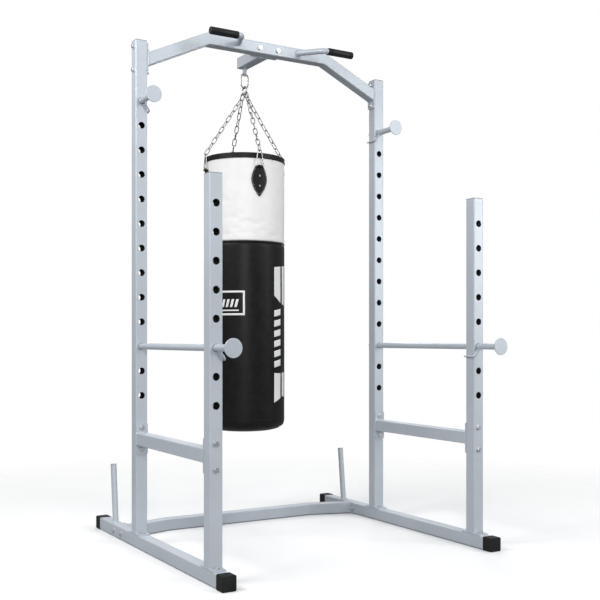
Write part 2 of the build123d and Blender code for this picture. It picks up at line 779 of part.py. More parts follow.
save("carabiner_body", carabiner_body())
save("carabiner_pin", carabiner_pin())
save("carabiner_gate", carabiner_gate())
save("chain_ring", chain_ring())
for name, route in chains.items():
    save(name, chain(*route))
tab_angles = [route[0] for route in chains.values()]
save("d_rings", [d_ring(angle) for angle in tab_angles])
save("leather_tabs", [leather_tab(angle) for angle in tab_angles])
save("tab_rivets", [head for angle in tab_angles for head in tab_rivets(angle)])
save("bag_upper_band", bag_upper_band())
save("bag_lower_cover", bag_lower_cover())
save("bag_top_cover", bag_top_cover())
save("bag_filling", bag_filling())
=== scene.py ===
import json
import math

import bmesh
import bpy
import numpy as np
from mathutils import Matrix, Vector, noise
from mathutils.bvhtree import BVHTree


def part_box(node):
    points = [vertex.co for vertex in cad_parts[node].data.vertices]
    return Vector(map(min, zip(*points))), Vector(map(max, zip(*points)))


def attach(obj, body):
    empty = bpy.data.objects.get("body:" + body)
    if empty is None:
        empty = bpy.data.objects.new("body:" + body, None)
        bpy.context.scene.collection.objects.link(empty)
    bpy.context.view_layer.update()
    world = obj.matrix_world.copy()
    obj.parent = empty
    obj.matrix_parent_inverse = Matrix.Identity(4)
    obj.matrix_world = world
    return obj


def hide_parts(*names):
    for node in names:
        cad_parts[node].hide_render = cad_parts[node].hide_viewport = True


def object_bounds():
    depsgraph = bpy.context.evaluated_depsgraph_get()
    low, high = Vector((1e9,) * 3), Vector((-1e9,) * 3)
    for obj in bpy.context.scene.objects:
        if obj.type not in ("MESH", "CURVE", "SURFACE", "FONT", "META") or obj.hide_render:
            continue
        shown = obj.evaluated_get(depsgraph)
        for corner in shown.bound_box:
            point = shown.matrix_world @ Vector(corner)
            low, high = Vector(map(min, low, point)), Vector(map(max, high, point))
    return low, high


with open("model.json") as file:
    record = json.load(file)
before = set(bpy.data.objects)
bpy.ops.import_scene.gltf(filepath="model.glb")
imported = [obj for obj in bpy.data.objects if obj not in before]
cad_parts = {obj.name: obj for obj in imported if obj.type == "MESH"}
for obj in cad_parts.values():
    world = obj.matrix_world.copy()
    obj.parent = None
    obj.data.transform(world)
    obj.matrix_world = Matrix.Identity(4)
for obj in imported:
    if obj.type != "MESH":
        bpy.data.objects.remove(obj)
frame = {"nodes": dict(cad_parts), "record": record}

# Half rack with a hanging punching bag: materials for every CAD node, and detailed meshes
# for the bag's skins, lid, seams, leather tabs and prints, the handle grips and the welds.

cad_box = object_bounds()
nodes = frame["nodes"]
scene = bpy.context.scene
MM = 0.001
SIDES = {"left": -1, "right": 1}


def node_middle(name):
    low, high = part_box(name)
    return (low + high) / 2


# ---- places and sizes read from the frame, in metres ----

band_low, band_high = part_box("bag_upper_band")
lid_low, lid_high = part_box("bag_top_cover")
bag_middle = node_middle("bag_upper_band")
BAG_X, BAG_Y = bag_middle.x, bag_middle.y
BAG_R = (band_high.x - band_low.x) / 2
BAG_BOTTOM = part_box("bag_lower_cover")[0].z
SEAM_Z = band_low.z
BAG_TOP = band_high.z
BAG_TURN = math.radians(-6.6)       # the bag hangs slightly turned
TAB_ANGLES = [math.radians(a) + BAG_TURN for a in (-90, 0, 180, 90)]    # front, right, left, rear


def turns(count):
    """Evenly spaced angles, once round."""
    return [2 * math.pi * n / count for n in range(count)]


def around(angle, radius, z):
    """Point at an angle and radius about the bag's axis."""
    return Vector((BAG_X + radius * math.cos(angle), BAG_Y + radius * math.sin(angle), z))


# ---- camera, fitted to the photo's uprights, hole rows and floor rails ----

CAMERA_PLACE = (-2.022, -3.487, 0.852)
CAMERA_HEADING = -30.79     # degrees; the camera is level
CAMERA_LENS = 57.12         # mm
CAMERA_SENSOR = 36.0        # mm
CAMERA_SHIFT = 0.0637       # raises the view and keeps uprights upright


def make_camera():
    data = bpy.data.cameras.new("camera")
    data.lens = CAMERA_LENS
    data.sensor_width = CAMERA_SENSOR
    data.shift_y = CAMERA_SHIFT
    camera = bpy.data.objects.new("camera", data)
    scene.collection.objects.link(camera)
    camera.location = CAMERA_PLACE
    camera.rotation_euler = (math.radians(90), 0, math.radians(CAMERA_HEADING))
    scene.camera = camera
    scene.view_settings.view_transform = "Standard"


# ---- material building ----

class Tree:
    """Short calls for building a node tree."""

    def __init__(self, tree):
        self.tree = tree

    def add(self, kind, **values):
        node = self.tree.nodes.new(kind)
        for key, value in values.items():
            setattr(node, key, value)
        return node

    def link(self, source, target):
        self.tree.links.new(source, target)

    def put(self, value, target):
        """Link a socket's value, or set a colour or a number."""
        if isinstance(value, bpy.types.NodeSocket):
            self.link(value, target)
        else:
            target.default_value = (*value, 1) if isinstance(value, tuple) else value

    def range(self, value, low, high, start=0.0, end=1.0):
        node = self.add("ShaderNodeMapRange")
        node.inputs["From Min"].default_value = start
        node.inputs["From Max"].default_value = end
        node.inputs["To Min"].default_value = low
        node.inputs["To Max"].default_value = high
        self.link(value, node.inputs["Value"])
        return node.outputs["Result"]


class Nodes(Tree):
    """One material's node tree."""

    def __init__(self, name):
        self.material = bpy.data.materials.new(name)
        self.material.use_nodes = True
        super().__init__(self.material.node_tree)
        self.shader = self.tree.nodes["Principled BSDF"]
        self.place = self.add("ShaderNodeTexCoord").outputs["Object"]

    def stretched(self, scale):
        mapping = self.add("ShaderNodeMapping")
        mapping.inputs["Scale"].default_value = scale
        self.link(self.place, mapping.inputs["Vector"])
        return mapping.outputs["Vector"]

    def noise(self, scale, detail=3.0, rough=0.5, vector=None):
        node = self.add("ShaderNodeTexNoise")
        node.inputs["Scale"].default_value = scale
        node.inputs["Detail"].default_value = detail
        node.inputs["Roughness"].default_value = rough
        self.link(vector or self.place, node.inputs["Vector"])
        return node.outputs["Fac"]

    def cells(self, scale, feature="DISTANCE_TO_EDGE"):
        node = self.add("ShaderNodeTexVoronoi", feature=feature)
        node.inputs["Scale"].default_value = scale
        self.link(self.place, node.inputs["Vector"])
        return node.outputs["Distance"]

    def ramp(self, value, stops):
        node = self.add("ShaderNodeValToRGB")
        node.color_ramp.elements[0].position = stops[0][0]
        node.color_ramp.elements[0].color = (*stops[0][1], 1)
        node.color_ramp.elements[1].position = stops[-1][0]
        node.color_ramp.elements[1].color = (*stops[-1][1], 1)
        for position, color in stops[1:-1]:
            node.color_ramp.elements.new(position).color = (*color, 1)
        self.link(value, node.inputs["Fac"])
        return node.outputs["Color"]

    def mix(self, factor, first, second):
        node = self.add("ShaderNodeMix", data_type="RGBA")
        self.link(factor, node.inputs["Factor"])
        self.put(first, node.inputs["A"])
        self.put(second, node.inputs["B"])
        return node.outputs["Result"]

    def math(self, operation, first, second=0.0):
        node = self.add("ShaderNodeMath", operation=operation)
        self.put(first, node.inputs[0])
        self.put(second, node.inputs[1])
        return node.outputs["Value"]

    def bump(self, height, strength, distance, under=None):
        node = self.add("ShaderNodeBump")
        node.inputs["Strength"].default_value = strength
        node.inputs["Distance"].default_value = distance
        self.link(height, node.inputs["Height"])
        if under is not None:
            self.link(under, node.inputs["Normal"])
        return node.outputs["Normal"]

    def finish(self, color=None, roughness=None, normal=None, **constants):
        """Link the varying sockets and set the constant ones."""
        for value, socket in ((color, "Base Color"), (roughness, "Roughness"), (normal, "Normal")):
            if value is not None:
                self.link(value, self.shader.inputs[socket])
        for socket, value in constants.items():
            self.shader.inputs[socket.replace("_", " ")].default_value = value
        return self.material


COAT = (0.505, 0.55, 0.605)
COAT_FLAKE = (0.78, 0.80, 0.84)
COAT_SCUFFED = (0.42, 0.45, 0.49)
# near-black colour for the walls inside the upright tubes: painted shade, so the holes look dark
TUBE_INSIDE_SHADE = (0.012, 0.012, 0.013)
INNER_REACH = 23.3 * MM     # from a tube's middle to just past its inner wall
FLOOR_SOLID = 1.1           # the floor fades into the white surround between these radii
FLOOR_GONE = 3.0


def tint(color, factor):
    return tuple(min(1.0, c * factor) for c in color)


def powder_coat(name, inside=False):
    """Silver-grey powder coat: orange-peel bump, faint flakes and rubbed patches.

    With inside, the walls within the uprights' tubes are coloured near-black, a painted shade that makes the
    holes look dark."""
    n = Nodes(name)
    cloud = n.noise(3.0, 4.0, 0.55)
    color = n.ramp(cloud, [(0.3, tint(COAT, 0.93)), (0.55, COAT), (0.75, tint(COAT, 1.06))])
    fleck = n.cells(1400, "F1")
    color = n.mix(n.range(fleck, 0.16, 0.0, 0.0, 0.5), color, COAT_FLAKE)
    scuff = n.noise(1.0, 5.0, 0.7, n.stretched((90, 90, 7)))
    scuff = n.range(scuff, 0.0, 0.35, 0.66, 0.80)
    color = n.mix(scuff, color, COAT_SCUFFED)
    peel = n.noise(420, 2.0, 0.4)
    rough = n.range(cloud, 0.36, 0.47)
    if inside:
        # painted shade: the tubes' inner walls turn near-black
        color = n.mix(painted_shade_in_posts(n), color, TUBE_INSIDE_SHADE)
    peeled = n.bump(peel, 0.10, 0.0006)
    return n.finish(color, rough, peeled, Metallic=0.25, Coat_Weight=0.15, Coat_Roughness=0.35)


def painted_shade_in_posts(n):
    """Mask of the painted shade: 1 on the inner walls of the four upright tubes, 0 elsewhere."""
    split = n.add("ShaderNodeSeparateXYZ")
    n.link(n.place, split.inputs["Vector"])
    tall = node_middle("left_tall_upright")
    short = node_middle("left_short_upright")
    across = n.math("SUBTRACT", n.math("ABSOLUTE", split.outputs["X"]), abs(tall.x))
    near_x = n.math("LESS_THAN", n.math("ABSOLUTE", across), INNER_REACH)
    from_middle = n.math("SUBTRACT", split.outputs["Y"], (tall.y + short.y) / 2)
    along = n.math("SUBTRACT", n.math("ABSOLUTE", from_middle), (tall.y - short.y) / 2)
    near_y = n.math("LESS_THAN", n.math("ABSOLUTE", along), INNER_REACH)
    return n.math("MULTIPLY", near_x, near_y)


def moulded(name, base, light, scale, roughness, strength, gloss):
    """Moulded rubber, plastic or packed fill: fine stipple and a cloudy tone."""
    n = Nodes(name)
    cloud = n.noise(18, 4.0, 0.6)
    stipple = n.noise(scale, 2.0, 0.6)
    color = n.ramp(cloud, [(0.35, base), (0.72, light)])
    rough = n.range(cloud, roughness - 0.06, roughness + 0.08)
    return n.finish(color, rough, n.bump(stipple, strength, 0.0005), Specular_IOR_Level=gloss)


def bright_steel(name, base, dark, roughness, drawn):
    """Plated steel: cloudy plating, drawing lines and small dull spots."""
    n = Nodes(name)
    cloud = n.noise(60, 4.0, 0.6)
    lines = n.noise(1.0, 3.0, 0.6, n.stretched(drawn))
    spots = n.range(n.noise(240, 2.0, 0.5), 0.0, 0.8, 0.60, 0.74)
    color = n.mix(n.range(cloud, 0.0, 0.5), base, tint(base, 0.86))
    color = n.mix(spots, color, dark)
    rough = n.math("ADD", n.range(lines, roughness - 0.06, roughness + 0.08), n.math("MULTIPLY", spots, 0.12))
    return n.finish(color, rough, n.bump(lines, 0.08, 0.0003), Metallic=1.0)


def coated_vinyl(name, base, light, roughness, grain, gloss, crease):
    """Coated vinyl: pebble grain, soft creases and a slightly uneven tone."""
    n = Nodes(name)
    warp = n.noise(26, 3.0, 0.6)
    pebbles = n.cells(grain, "F1")
    fine = n.noise(grain * 2.2, 2.0, 0.5)
    creases = n.noise(1.0, 5.0, 0.62, n.stretched((14, 14, 42)))
    color = n.ramp(warp, [(0.3, base), (0.7, light)])
    height = n.bump(creases, crease, 0.004)
    height = n.bump(pebbles, 0.20, 0.0006, height)
    height = n.bump(fine, 0.10, 0.0003, height)
    rough = n.range(warp, roughness - 0.05, roughness + 0.08)
    return n.finish(color, rough, height, Specular_IOR_Level=gloss)


def print_ink():
    """White screen print: thin cracks and worn speckles over the vinyl's grain."""
    n = Nodes("white_print")
    cracks = n.range(n.cells(95), 1.0, 0.0, 0.0, 0.012)
    worn = n.range(n.noise(70, 5.0, 0.7), 0.0, 1.0, 0.63, 0.72)
    color = n.mix(n.math("MULTIPLY", cracks, 0.35), (0.84, 0.84, 0.82), (0.55, 0.55, 0.54))
    color = n.mix(n.math("MULTIPLY", worn, 0.45), color, (0.50, 0.50, 0.49))
    grain = n.cells(620, "F1")
    return n.finish(color, n.range(grain, 0.42, 0.52), n.bump(grain, 0.18, 0.0005), Specular_IOR_Level=0.4)


def stitched_thread(name, base, light):
    """Twisted thread."""
    n = Nodes(name)
    twist = n.add("ShaderNodeTexWave", wave_type="BANDS", bands_direction="DIAGONAL")
    twist.inputs["Scale"].default_value = 900
    twist.inputs["Distortion"].default_value = 1.0
    n.link(n.place, twist.inputs["Vector"])
    color = n.ramp(twist.outputs["Fac"], [(0.2, base), (0.8, light)])
    return n.finish(color, n.range(n.noise(300), 0.6, 0.8), n.bump(twist.outputs["Fac"], 0.4, 0.0004))


def pale_floor():
    """Pale matt floor, dimmer for bounced light, that fades out into the white surround."""
    n = Nodes("pale_floor")
    pale = n.ramp(n.noise(2.0, 4.0, 0.5), [(0.35, (0.94, 0.94, 0.94)), (0.7, (0.97, 0.97, 0.97))])
    dim = n.ramp(n.noise(2.0, 4.0, 0.5), [(0.35, (0.40, 0.40, 0.40)), (0.7, (0.44, 0.44, 0.44))])
    seen = n.add("ShaderNodeLightPath").outputs["Is Camera Ray"]
    color = n.mix(seen, dim, pale)
    n.finish(color, n.range(n.noise(9.0), 0.62, 0.75), Specular_IOR_Level=0.2)
    distance = n.add("ShaderNodeVectorMath", operation="LENGTH")
    n.link(n.place, distance.inputs[0])
    clear = n.range(distance.outputs["Value"], 0.0, 1.0, FLOOR_SOLID, FLOOR_GONE)
    blend = n.add("ShaderNodeMixShader")
    output = n.tree.nodes["Material Output"]
    n.link(clear, blend.inputs["Fac"])
    n.link(n.shader.outputs["BSDF"], blend.inputs[1])
    n.link(n.add("ShaderNodeBsdfTransparent").outputs["BSDF"], blend.inputs[2])
    n.link(blend.outputs["Shader"], output.inputs["Surface"])
    return n.material


PAINT = powder_coat("powder_coat")
# the uprights' coat, with painted shade on the walls inside their tubes
POST_PAINT_SHADED_INSIDE = powder_coat("post_powder_coat_shaded_inside", inside=True)
RUBBER = moulded("black_rubber", (0.007, 0.007, 0.0075), (0.017, 0.017, 0.018), 700, 0.62, 0.25, 0.22)
GRIP = moulded("grip_rubber", (0.006, 0.006, 0.0075), (0.016, 0.016, 0.019), 900, 0.40, 0.18, 0.28)
PLASTIC = moulded("grey_plastic", (0.20, 0.21, 0.22), (0.28, 0.29, 0.30), 800, 0.48, 0.15, 0.5)
ZINC = bright_steel("zinc_steel", (0.74, 0.75, 0.76), (0.40, 0.40, 0.40), 0.30, (30, 30, 900))
CHROME = bright_steel("chain_steel", (0.42, 0.42, 0.405), (0.10, 0.10, 0.095), 0.24, (300, 300, 300))
LEATHER = coated_vinyl("tab_leather", (0.007, 0.007, 0.0075), (0.014, 0.014, 0.015), 0.42, 900, 0.17, 0.14)
WHITE = coated_vinyl("white_vinyl", (0.83, 0.83, 0.815), (0.87, 0.87, 0.855), 0.42, 620, 0.45, 0.10)
BLACK = coated_vinyl("black_vinyl", (0.0040, 0.0040, 0.0043), (0.0075, 0.0075, 0.0080), 0.38, 620, 0.21, 0.20)
FILL = moulded("textile_fill", (0.30, 0.28, 0.25), (0.45, 0.42, 0.38), 90, 0.9, 0.6, 0.5)
INK = print_ink()
THREAD = stitched_thread("black_thread", (0.012, 0.012, 0.012), (0.05, 0.05, 0.05))
PALE_THREAD = stitched_thread("pale_thread", (0.42, 0.42, 0.40), (0.70, 0.70, 0.67))

SLOT_MATERIALS = {
    "frame_paint": PAINT,
    "black_rubber": RUBBER,
    "grip_rubber": GRIP,
    "grey_plastic": PLASTIC,
    "zinc_steel": ZINC,
    "chain_steel": CHROME,
    "tab_leather": LEATHER,
    "white_vinyl": WHITE,
    "black_vinyl": BLACK,
    "textile_fill": FILL,
}


def finish_cad_nodes():
    """Give every CAD node the material of its slot."""
    for row in frame["record"]["subparts"]:
        mesh = nodes[row["node"]].data
        mesh.materials.clear()
        # the uprights take the coat with painted shade inside their tubes
        post = row["node"].endswith("_upright")
        mesh.materials.append(POST_PAINT_SHADED_INSIDE if post else SLOT_MATERIALS[row["material_slot"]])


# ---- mesh building ----

def piece(name, vertices, faces, material, body, slot):
    """Mesh object that rides on a body."""
    mesh = bpy.data.meshes.new(name)
    mesh.from_pydata([tuple(v) for v in vertices], [], faces)
    mesh.validate()
    work = bmesh.new()
    work.from_mesh(mesh)
    bmesh.ops.recalc_face_normals(work, faces=work.faces)
    work.to_mesh(mesh)
    work.free()
    for polygon in mesh.polygons:
        polygon.use_smooth = True
    mesh.materials.append(material)
    made = bpy.data.objects.new(name, mesh)
    scene.collection.objects.link(made)
    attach(made, body)
    return made


def ring_faces(rings, sides, closed=False, first=0):
    """Quads between rings of vertices, numbered ring by ring."""
    faces = []
    for ring in range(rings if closed else rings - 1):
        after = (ring + 1) % rings
        for side in range(sides):
            turn = (side + 1) % sides
            faces.append((
                first + ring * sides + side,
                first + ring * sides + turn,
                first + after * sides + turn,
                first + after * sides + side,
            ))
    return faces


def capped_faces(rings, sides):
    """Quads between rings of vertices, and a cap at either end."""
    last = (rings - 1) * sides
    caps = [tuple(reversed(range(sides))), tuple(range(last, last + sides))]
    return ring_faces(rings, sides) + caps


def slab_faces(rows, columns, flip=False):
    """Faces of a thin block between two grids of (rows + 1) by (columns + 1) vertices."""
    layer = (rows + 1) * (columns + 1)
    faces = []
    for row in range(rows):
        for column in range(columns):
            low = row * (columns + 1) + column
            high = low + columns + 1
            faces.append((low, high, high + 1, low + 1))
            faces.append((layer + low, layer + low + 1, layer + high + 1, layer + high))
    rim = list(range(columns + 1))
    rim += [row * (columns + 1) + columns for row in range(1, rows + 1)]
    rim += [rows * (columns + 1) + column for column in range(columns - 1, -1, -1)]
    rim += [row * (columns + 1) for row in range(rows - 1, 0, -1)]
    for index, corner in enumerate(rim):
        after = rim[(index + 1) % len(rim)]
        faces.append((corner, after, layer + after, layer + corner))
    if flip:
        faces = [(face[0],) + face[:0:-1] for face in faces]
    return faces


def swept(points, radii, sides, closed, up=None):
    """Vertices and faces of a round tube through points; open ends are capped."""
    count = len(points)
    vertices = []
    side_axis = None
    for index, point in enumerate(points):
        ahead = points[(index + 1) % count] if closed or index + 1 < count else point
        behind = points[index - 1] if closed or index > 0 else point
        along = (ahead - behind).normalized()
        if up is not None:
            side_axis = along.cross(up).normalized()
        elif side_axis is None:
            side_axis = along.orthogonal().normalized()
        else:
            side_axis = (side_axis - along * side_axis.dot(along)).normalized()
        other = along.cross(side_axis)
        radius = radii[index] if isinstance(radii, list) else radii
        for angle in turns(sides):
            vertices.append(point + side_axis * radius * math.cos(angle) + other * radius * math.sin(angle))
    return vertices, ring_faces(count, sides, True) if closed else capped_faces(count, sides)


def lathe(profile, origin, axis, sides):
    """Vertices and faces of a closed turned solid; profile is (radius, height) pairs."""
    axis = axis.normalized()
    across = axis.orthogonal().normalized()
    other = axis.cross(across)
    vertices = []
    for radius, height in profile:
        for angle in turns(sides):
            reach = across * math.cos(angle) + other * math.sin(angle)
            vertices.append(origin + axis * height + reach * radius)
    return vertices, capped_faces(len(profile), sides)


def joined(parts):
    """One list of vertices and faces from several."""
    vertices, faces = [], []
    for part_vertices, part_faces in parts:
        offset = len(vertices)
        vertices += part_vertices
        faces += [tuple(offset + i for i in face) for face in part_faces]
    return vertices, faces


# ---- the bag's soft skins ----

SKIN_START = BAG_R - 1.6 * MM       # radius before the skin is blown up
SKIN_LIMIT = BAG_R + 0.15 * MM      # the tabs, D-rings and lid lie outside this radius
SKIN_COLUMNS = 150
SKIN_STEP = 8.5 * MM                # height between rings
SKIN_TUCK = 1.3 * MM                # how far a seam pulls the skin in
TUCK_RINGS = 3                      # and how many rings it pulls
CORNER_R = 48 * MM                  # rounded edge of the base
BASE_SAG = 4.0 * MM                 # the base's middle hangs this far below its edge
BASE_Z = BAG_BOTTOM + 5 * MM
CLOTH = {
    "quality": 6, "mass": 0.35, "tension_stiffness": 30, "compression_stiffness": 30,
    "shear_stiffness": 15, "bending_stiffness": 2.0, "shrink_min": -0.008,
    "use_pressure": True, "uniform_pressure_force": 4.0,
}
CLOTH_FRAMES = 20
MOST_MOVE = 6 * MM                  # limit of the cloth's movement


def revolved(profile, columns, wobble=0.0):
    """Closed skin round the bag's axis; the profile of (radius, z) runs from pole to pole."""
    vertices = [Vector((BAG_X, BAG_Y, profile[0][1]))]
    rings = profile[1:-1]
    for radius, z in rings:
        for angle in turns(columns):
            place = around(angle, radius, z)
            swell = wobble * noise.noise(place * 9.0) + 0.5 * wobble * noise.noise(place * 31.0)
            vertices.append(around(angle, radius + swell, z))
    vertices.append(Vector((BAG_X, BAG_Y, profile[-1][1])))
    faces = ring_faces(len(rings), columns, first=1)
    last = len(vertices) - 1
    final_ring = 1 + (len(rings) - 1) * columns
    for column in range(columns):
        turn = (column + 1) % columns
        faces.append((0, 1 + turn, 1 + column))
        faces.append((last, final_ring + column, final_ring + turn))
    return vertices, faces


def blow_up(skin, pinned, kept):
    """Cloth with pressure, held at its seams; the kept share of its movement becomes the mesh."""
    start = [v.co.copy() for v in skin.data.vertices]
    group = skin.vertex_groups.new(name="seams")
    group.add(pinned, 1.0, "REPLACE")
    cloth = skin.modifiers.new("cloth", "CLOTH")
    for key, value in CLOTH.items():
        setattr(cloth.settings, key, value)
    cloth.settings.effector_weights.gravity = 0.0
    cloth.settings.vertex_group_mass = "seams"
    cloth.point_cache.frame_start = 1
    cloth.point_cache.frame_end = CLOTH_FRAMES
    for frame_number in range(1, CLOTH_FRAMES + 1):
        scene.frame_set(frame_number)
    blown = bpy.data.meshes.new_from_object(skin.evaluated_get(bpy.context.evaluated_depsgraph_get()))
    skin.modifiers.clear()
    skin.vertex_groups.clear()
    for vertex, before in zip(skin.data.vertices, start):
        move = blown.vertices[vertex.index].co - before
        if move.length > MOST_MOVE:
            move = move.normalized() * MOST_MOVE
        vertex.co = before + move * kept
    bpy.data.meshes.remove(blown)
    scene.frame_set(1)


def hold_inside(skin, low_z, high_z):
    """Keep a skin inside the bag's radius and height."""
    for vertex in skin.data.vertices:
        out = Vector((vertex.co.x - BAG_X, vertex.co.y - BAG_Y))
        if out.length > SKIN_LIMIT:
            out = out.normalized() * SKIN_LIMIT
            vertex.co.x, vertex.co.y = BAG_X + out.x, BAG_Y + out.y
        vertex.co.z = min(max(vertex.co.z, low_z), high_z)
    skin.data.update()


def soft_skin(name, profile, pinned_rings, material, slot, low_z, high_z, kept):
    """One stuffed part of the bag, blown up between its seams."""
    vertices, faces = revolved(profile, SKIN_COLUMNS, 0.5 * MM)
    skin = piece(name, vertices, faces, material, "bag", slot)
    pinned = [0, len(vertices) - 1]
    for ring in pinned_rings:
        pinned += range(1 + ring * SKIN_COLUMNS, 1 + (ring + 1) * SKIN_COLUMNS)
    blow_up(skin, pinned, kept)
    hold_inside(skin, low_z, high_z)
    smooth = skin.modifiers.new("smooth", "SUBSURF")
    smooth.levels = 1
    smooth.render_levels = 1
    return skin


def straight_rings(low_z, high_z):
    """Evenly spaced rings between two levels, both ends included."""
    count = round((high_z - low_z) / SKIN_STEP)
    return [(SKIN_START, low_z + (high_z - low_z) * n / count) for n in range(count + 1)]


def seam_tuck(rings, end):
    """Pull the rings nearest a seam in towards it."""
    for step in range(TUCK_RINGS):
        index = step if end == "low" else -1 - step
        radius, z = rings[index]
        rings[index] = (radius - SKIN_TUCK * (1 - step / TUCK_RINGS) ** 2, z)
    return rings


def lower_skin():
    """Black part: sagging base, rounded corner and straight wall up to the seam."""
    corner = SKIN_START - CORNER_R
    profile = [(0, BAG_BOTTOM + 1.0 * MM)]
    base_count = 13
    for n in range(1, base_count):
        share = n / base_count
        profile.append((corner * share, BAG_BOTTOM + 1.0 * MM + BASE_SAG * share ** 2))
    steps = 8
    for n in range(steps):
        angle = math.pi / 2 * n / steps
        profile.append((
            corner + CORNER_R * math.sin(angle),
            BASE_Z + CORNER_R * (1 - math.cos(angle)),
        ))
    welt_ring = len(profile) - 1 - steps // 2
    profile += seam_tuck(straight_rings(BASE_Z + CORNER_R, SEAM_Z), "high")
    top_ring = len(profile) - 2
    profile += [(SKIN_START * 0.6, SEAM_Z - 1 * MM), (0, SEAM_Z - 1 * MM)]
    held = [welt_ring, top_ring, top_ring + 1]
    skin = soft_skin("bag_lower_skin", profile, held, BLACK, "black_vinyl", BAG_BOTTOM, SEAM_Z, 1.0)
    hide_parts("bag_lower_cover", "bag_filling")
    return skin


def upper_skin():
    """White part between the seam and the lid."""
    rings = seam_tuck(seam_tuck(straight_rings(SEAM_Z, BAG_TOP - 1 * MM), "low"), "high")
    profile = [(0, SEAM_Z + 1 * MM), (SKIN_START * 0.6, SEAM_Z + 1 * MM)] + rings
    last = len(profile) - 2
    profile += [(SKIN_START * 0.6, BAG_TOP - 2 * MM), (0, BAG_TOP - 2 * MM)]
    held = [0, 1, last, last + 1]
    skin = soft_skin("bag_upper_skin", profile, held, WHITE, "white_vinyl", SEAM_Z, BAG_TOP, 0.4)
    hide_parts("bag_upper_band")
    return skin


# ---- points on the finished skins ----

class Skins:
    """Finds the bag's outer surface at an angle and level."""

    def __init__(self, skins):
        bpy.context.view_layer.update()
        graph = bpy.context.evaluated_depsgraph_get()
        self.trees = [BVHTree.FromObject(skin, graph) for skin in skins]

    def radius(self, angle, z):
        start = around(angle, BAG_R * 1.5, z)
        inward = around(angle + math.pi, BAG_R, z) - around(angle, 0, z)
        found = []
        for tree in self.trees:
            place = tree.ray_cast(start, inward.normalized(), BAG_R)[0]
            if place is not None:
                found.append(math.hypot(place.x - BAG_X, place.y - BAG_Y))
        return max(found, default=SKIN_START)

    def point(self, angle, z, stand):
        return around(angle, self.radius(angle, z) + stand, z)


# ---- stitches ----

STITCH = 4.4 * MM           # length of one stitch
STITCH_GAP = 2.0 * MM
THREAD_R = 0.5 * MM


def stitch(start, end, outward):
    """One stitch, its ends sunk into the material."""
    rise = (-0.5, 0.35, 0.5, 0.35, -0.5)
    fat = (0.6, 1.0, 1.0, 1.0, 0.6)
    points = [
        start.lerp(end, n / (len(rise) - 1)) + outward * THREAD_R * rise[n]
        for n in range(len(rise))
    ]
    return swept(points, [THREAD_R * f for f in fat], 6, False)


def stitches_along(points, closed=False):
    """Stitches at even spacing along (place, outward) pairs."""
    line = points + points[:1] if closed else points
    lengths = [0.0]
    for before, after in zip(line, line[1:]):
        lengths.append(lengths[-1] + (after[0] - before[0]).length)
    count = max(1, round(lengths[-1] / (STITCH + STITCH_GAP)))
    pitch = lengths[-1] / count
    parts = []

    def at(reach):
        index = min(int(np.searchsorted(lengths, reach, "right")) - 1, len(line) - 2)
        share = (reach - lengths[index]) / max(lengths[index + 1] - lengths[index], 1e-9)
        return line[index][0].lerp(line[index + 1][0], share), line[index][1]

    for n in range(count):
        start, outward = at(n * pitch)
        end, _ = at(n * pitch + pitch - STITCH_GAP)
        parts.append(stitch(start, end, outward))
    return joined(parts)


def out_at(angle):
    return Vector((math.cos(angle), math.sin(angle), 0))


def ring_line(skins, z, radius=None):
    """Places and outward directions round the bag at one level."""
    line = []
    for angle in turns(COLUMNS):
        place = around(angle, radius, z) if radius else skins.point(angle, z, 0)
        line.append((place, out_at(angle)))
    return line


def upright_line(skins, angle, low_z, high_z, count=90):
    return [
        (skins.point(angle, low_z + (high_z - low_z) * n / count, 0), out_at(angle))
        for n in range(count + 1)
    ]


BACK_SEAM = math.radians(40)    # where the skins' upright seams lie
SEAM_ROW = 4.0 * MM             # from that seam to each of its stitch rows
SEAM_LIP = 3.2 * MM             # half the height of the middle seam's strip
LIP_ROW = 2.2 * MM              # from the strip's edge to its stitch row
PIPING_R = 2.2 * MM
COLUMNS = 180                   # steps round the bag of its seams and lid
UP = Vector((0, 0, 1))


def bag_seams(skins):
    """Folded seam strips, piping and stitch rows of the bag."""
    lip = SEAM_LIP
    strip_r = BAG_R + 0.1 * MM
    profile = [(-1.0, -lip), (-0.2, -lip), (0.1, -lip * 0.6), (0.1, lip * 0.6), (-0.2, lip), (-1.0, lip)]
    band = [around(angle, strip_r + r * MM, SEAM_Z + z) for r, z in profile for angle in turns(COLUMNS)]
    faces = ring_faces(len(profile), COLUMNS, closed=True)
    piece("middle_seam_strip", band, faces, BLACK, "bag", "black_vinyl")
    half_way = CORNER_R * (1 - math.sqrt(0.5))      # the piping lies half way round the base's edge
    circle = [around(angle, SKIN_START - half_way, BASE_Z + half_way) for angle in turns(COLUMNS)]
    piece("base_piping", *swept(circle, PIPING_R, 10, True, UP), BLACK, "bag", "black_vinyl")
    strips = (
        (BAG_BOTTOM + CORNER_R + 8 * MM, SEAM_Z - 4 * MM),
        (SEAM_Z + 4 * MM, lid_low.z - 1 * MM),
    )
    piece("lower_back_seam", *back_strip(skins, *strips[0]), BLACK, "bag", "black_vinyl")
    piece("upper_back_seam", *back_strip(skins, *strips[1]), WHITE, "bag", "white_vinyl")
    parts = []
    for z in (SEAM_Z - lip - LIP_ROW, SEAM_Z + lip + LIP_ROW):
        parts.append(stitches_along(ring_line(skins, z), True))
    parts.append(stitches_along(ring_line(skins, BAG_BOTTOM + CORNER_R + 9 * MM), True))
    parts.append(stitches_along(ring_line(skins, (lid_low.z + BAG_TOP) / 2 - 1 * MM, radius=LID_R), True))
    for side in (-1, 1):
        angle = BACK_SEAM + side * SEAM_ROW / BAG_R
        for low_z, high_z in strips:
            parts.append(stitches_along(raised(upright_line(skins, angle, low_z, high_z), 0.9 * MM)))
    piece("bag_stitching", *joined(parts), THREAD, "bag", "black_vinyl")


def raised(line, stand):
    return [(place + outward * stand, outward) for place, outward in line]


